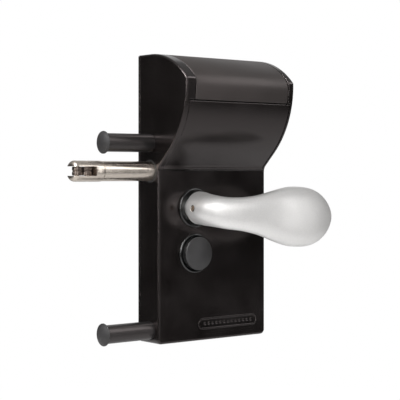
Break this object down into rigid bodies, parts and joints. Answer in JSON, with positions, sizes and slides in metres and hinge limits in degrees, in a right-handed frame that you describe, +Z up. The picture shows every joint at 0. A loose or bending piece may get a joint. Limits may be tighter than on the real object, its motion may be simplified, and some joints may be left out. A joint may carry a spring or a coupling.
{
  "type": "mechanical gate code lock",
  "caption": "Surface-mounted mechanical keypad lock for a gate upright: hinged lid over push keys, lever handles, reset button and a sprung roller latch.",
  "frame": {"origin": "where the latch axis crosses the casing's mounting face", "axes": "+X out of the mounting face, away from the gate upright; +Y towards the inside of the gate; +Z up"},
  "size_m": [0.2452, 0.1663, 0.2603],
  "materials": {
    "powder_coat": "black fine-textured powder coat, semi-gloss",
    "flap_coat": "dark grey-brown satin coat",
    "key_plate": "dark brushed plate",
    "key_metal": "satin chrome key caps",
    "satin_aluminium": "satin anodised, fine blasted grain",
    "stainless": "turned stainless steel",
    "zinc_steel": "zinc-plated steel",
    "dark_zinc": "black zinc plating",
    "spring_steel": "drawn spring wire",
    "bronze": "sintered bronze",
    "nylon": "black nylon",
    "black_gloss": "gloss black moulded",
    "dark_plastic": "fine-grained black moulded",
    "badge_coat": "black coat, slightly glossier rim",
    "rubber": "black sealing rubber"
  },
  "bodies": {
    "lock_body": {"badge": "badge_coat", "bolt_caps": "dark_plastic", "button_collar": "black_gloss", "button_spring": "spring_steel", "casing": "powder_coat", "chassis_plate": "zinc_steel", "chassis_posts": "zinc_steel", "chassis_screws": "zinc_steel", "code_chamber": "zinc_steel", "cover_screws": "stainless", "fixing_bolts": "zinc_steel", "fixing_sleeves": "dark_zinc", "flap_hinge_pin": "stainless", "flap_spring": "spring_steel", "follower_bush": "bronze", "front_collar": "black_gloss", "gasket": "rubber", "handle_return_spring": "spring_steel", "key_springs": "spring_steel", "keypad_housing": "powder_coat", "keypad_plate": "key_plate", "keypad_screws": "zinc_steel", "latch_guide_bush": "nylon", "latch_rear_guide": "zinc_steel", "latch_spring": "spring_steel", "nut_blocks": "zinc_steel", "rear_collar": "black_gloss", "rear_cover": "powder_coat", "release_guide": "nylon"},
    "flap_lid": {"flap": "flap_coat"},
    "front_lever": {"front_handle": "satin_aluminium", "front_set_screw": "stainless", "front_spindle": "zinc_steel"},
    "rear_lever": {"rear_handle": "satin_aluminium", "rear_set_screw": "stainless", "rear_spindle": "zinc_steel", "follower": "zinc_steel"},
    "latch_bolt": {"latch_head": "stainless", "roller_pins": "stainless", "latch_shank": "stainless", "latch_tail": "zinc_steel"},
    "roller_outer": {"front_roller": "spring_steel"},
    "roller_inner": {"rear_roller": "spring_steel"},
    "button": {"reset_button": "dark_plastic", "button_clip": "spring_steel"},
    "release": {"release_bar": "zinc_steel"},
    "key_01_cap": {"key_01": "key_metal"},
    "key_02_cap": {"key_02": "key_metal"},
    "key_03_cap": {"key_03": "key_metal"},
    "key_04_cap": {"key_04": "key_metal"},
    "key_05_cap": {"key_05": "key_metal"},
    "key_06_cap": {"key_06": "key_metal"},
    "key_07_cap": {"key_07": "key_metal"},
    "key_08_cap": {"key_08": "key_metal"},
    "key_09_cap": {"key_09": "key_metal"},
    "key_10_cap": {"key_10": "key_metal"},
    "key_11_cap": {"key_11": "key_metal"},
    "key_12_cap": {"key_12": "key_metal"},
    "key_13_cap": {"key_13": "key_metal"},
    "key_14_cap": {"key_14": "key_metal"}
  },
  "joints": [
    {"name": "front_handle_turn", "type": "hinge", "parent": "lock_body", "child": "front_lever", "pos_m": [0.0414, 0, -0.0334], "axis": [0, 1, 0], "range_deg": [0, 43.5], "stiffness_Nm_per_rad": 1.5, "springref_deg": -34.38, "deforming": ["handle_return_spring"]},
    {"name": "rear_handle_turn", "type": "hinge", "parent": "lock_body", "child": "rear_lever", "pos_m": [0.0414, 0, -0.0334], "axis": [0, 1, 0], "range_deg": [0, 43.5], "stiffness_Nm_per_rad": 1.5, "springref_deg": -34.38},
    {"name": "latch_slide", "type": "slide", "parent": "lock_body", "child": "latch_bolt", "axis": [1, 0, 0], "range_m": [0, 0.02], "stiffness_N_per_m": 300, "springref_m": -0.03, "deforming": ["latch_spring"]},
    {"name": "outer_roller_spin", "type": "hinge", "parent": "latch_bolt", "child": "roller_outer", "pos_m": [-0.0773, 0, 0], "axis": [0, 0, 1], "continuous": true},
    {"name": "inner_roller_spin", "type": "hinge", "parent": "latch_bolt", "child": "roller_inner", "pos_m": [-0.0678, 0, 0], "axis": [0, 0, 1], "continuous": true},
    {"name": "flap_hinge", "type": "hinge", "parent": "lock_body", "child": "flap_lid", "pos_m": [0.0655, 0, 0.1013], "axis": [-1, 0, 0], "range_deg": [0, 90], "stiffness_Nm_per_rad": 0.08, "springref_deg": -45.84, "deforming": ["flap_spring"]},
    {"name": "button_press", "type": "slide", "parent": "lock_body", "child": "button", "axis": [0, 1, 0], "range_m": [0, 0.004], "stiffness_N_per_m": 500, "springref_m": -0.004, "deforming": ["button_spring"]},
    {"name": "release_drop", "type": "slide", "parent": "lock_body", "child": "release", "axis": [0, 0, -1], "range_m": [0, 0.003], "stiffness_N_per_m": 120, "springref_m": -0.006},
    {"name": "key_01_press", "type": "slide", "parent": "lock_body", "child": "key_01_cap", "axis": [0, 0.6347, -0.7727], "range_m": [0, 0.0025], "stiffness_N_per_m": 400, "springref_m": -0.003, "deforming": ["key_springs"]},
    {"name": "key_02_press", "type": "slide", "parent": "lock_body", "child": "key_02_cap", "axis": [0, 0.6347, -0.7727], "range_m": [0, 0.0025], "stiffness_N_per_m": 400, "springref_m": -0.003, "deforming": ["key_springs"]},
    {"name": "key_03_press", "type": "slide", "parent": "lock_body", "child": "key_03_cap", "axis": [0, 0.6347, -0.7727], "range_m": [0, 0.0025], "stiffness_N_per_m": 400, "springref_m": -0.003, "deforming": ["key_springs"]},
    {"name": "key_04_press", "type": "slide", "parent": "lock_body", "child": "key_04_cap", "axis": [0, 0.6347, -0.7727], "range_m": [0, 0.0025], "stiffness_N_per_m": 400, "springref_m": -0.003, "deforming": ["key_springs"]},
    {"name": "key_05_press", "type": "slide", "parent": "lock_body", "child": "key_05_cap", "axis": [0, 0.6347, -0.7727], "range_m": [0, 0.0025], "stiffness_N_per_m": 400, "springref_m": -0.003, "deforming": ["key_springs"]},
    {"name": "key_06_press", "type": "slide", "parent": "lock_body", "child": "key_06_cap", "axis": [0, 0.6347, -0.7727], "range_m": [0, 0.0025], "stiffness_N_per_m": 400, "springref_m": -0.003, "deforming": ["key_springs"]},
    {"name": "key_07_press", "type": "slide", "parent": "lock_body", "child": "key_07_cap", "axis": [0, 0.6347, -0.7727], "range_m": [0, 0.0025], "stiffness_N_per_m": 400, "springref_m": -0.003, "deforming": ["key_springs"]},
    {"name": "key_08_press", "type": "slide", "parent": "lock_body", "child": "key_08_cap", "axis": [0, 0.6347, -0.7727], "range_m": [0, 0.0025], "stiffness_N_per_m": 400, "springref_m": -0.003, "deforming": ["key_springs"]},
    {"name": "key_09_press", "type": "slide", "parent": "lock_body", "child": "key_09_cap", "axis": [0, 0.6347, -0.7727], "range_m": [0, 0.0025], "stiffness_N_per_m": 400, "springref_m": -0.003, "deforming": ["key_springs"]},
    {"name": "key_10_press", "type": "slide", "parent": "lock_body", "child": "key_10_cap", "axis": [0, 0.6347, -0.7727], "range_m": [0, 0.0025], "stiffness_N_per_m": 400, "springref_m": -0.003, "deforming": ["key_springs"]},
    {"name": "key_11_press", "type": "slide", "parent": "lock_body", "child": "key_11_cap", "axis": [0, 0.6347, -0.7727], "range_m": [0, 0.0025], "stiffness_N_per_m": 400, "springref_m": -0.003, "deforming": ["key_springs"]},
    {"name": "key_12_press", "type": "slide", "parent": "lock_body", "child": "key_12_cap", "axis": [0, 0.6347, -0.7727], "range_m": [0, 0.0025], "stiffness_N_per_m": 400, "springref_m": -0.003, "deforming": ["key_springs"]},
    {"name": "key_13_press", "type": "slide", "parent": "lock_body", "child": "key_13_cap", "axis": [0, 0.6347, -0.7727], "range_m": [0, 0.0025], "stiffness_N_per_m": 400, "springref_m": -0.003, "deforming": ["key_springs"]},
    {"name": "key_14_press", "type": "slide", "parent": "lock_body", "child": "key_14_cap", "axis": [0, 0.6347, -0.7727], "range_m": [0, 0.0025], "stiffness_N_per_m": 400, "springref_m": -0.003, "deforming": ["key_springs"]}
  ],
  "couplings": [
    {"joint": "rear_handle_turn", "follows": "front_handle_turn", "ratio": 1},
    {"joint": "latch_slide", "follows": "front_handle_turn", "m_per_rad": 0.026342}
  ]
}
